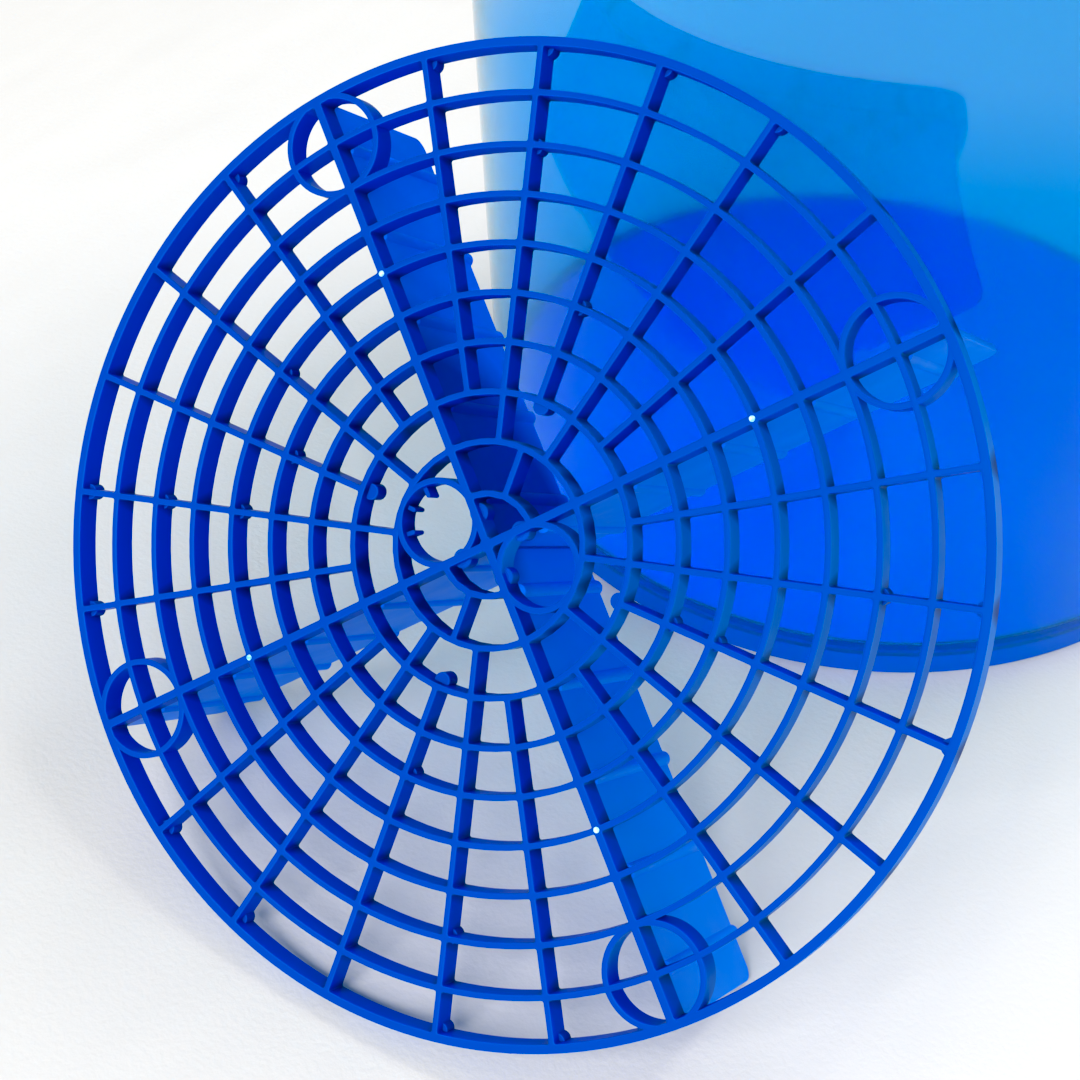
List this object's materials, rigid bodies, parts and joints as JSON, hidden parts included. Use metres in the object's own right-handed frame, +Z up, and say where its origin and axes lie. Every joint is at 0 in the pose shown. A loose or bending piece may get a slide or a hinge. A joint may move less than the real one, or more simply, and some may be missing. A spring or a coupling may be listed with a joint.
{
  "type": "wash bucket",
  "caption": "Translucent tapered wash bucket with a wire bail and roller grip, and a round grit guard with deep vanes leaning against its side.",
  "frame": {"origin": "middle of the whole set's footprint, on the floor", "axes": "+Z up; the grit guard leans on the bucket's -Y side; the bail's axis is along Y and the bail hangs on the -X side"},
  "size_m": [0.3179, 0.4758, 0.365],
  "materials": {
    "bucket_plastic": "translucent blue moulded polypropylene, satin gloss",
    "guard_plastic": "cobalt blue moulded polypropylene, satin gloss, slightly translucent where thin",
    "bail_steel": "bright zinc-plated steel wire",
    "grip_plastic": "black moulded polyethylene, fine matt grain"
  },
  "bodies": {
    "bucket": {"bucket_shell": "bucket_plastic", "bail_ear_front": "bucket_plastic", "bail_ear_back": "bucket_plastic"},
    "bail": {"bail_wire": "bail_steel"},
    "grip": {"bail_grip": "grip_plastic"},
    "grit_guard": {"guard_grid": "guard_plastic", "guard_vane_upper_left": "guard_plastic", "guard_vane_upper_right": "guard_plastic", "guard_vane_lower_left": "guard_plastic", "guard_vane_lower_right": "guard_plastic"}
  },
  "joints": [
    {"name": "bail_swing", "type": "hinge", "parent": "bucket", "child": "bail", "pos_m": [0.007, 0.0689, 0.319], "axis": [0, 1, 0], "range_deg": [0, 252.6]},
    {"name": "grip_spin", "type": "hinge", "parent": "bail", "child": "grip", "pos_m": [-0.14596, 0.0689, 0.20629], "axis": [0, 1, 0], "continuous": true},
    {"name": "guard_lift", "type": "slide", "parent": "bucket", "child": "grit_guard", "axis": [0, -0.5, 0.866], "range_m": [0, 0.25]}
  ]
}
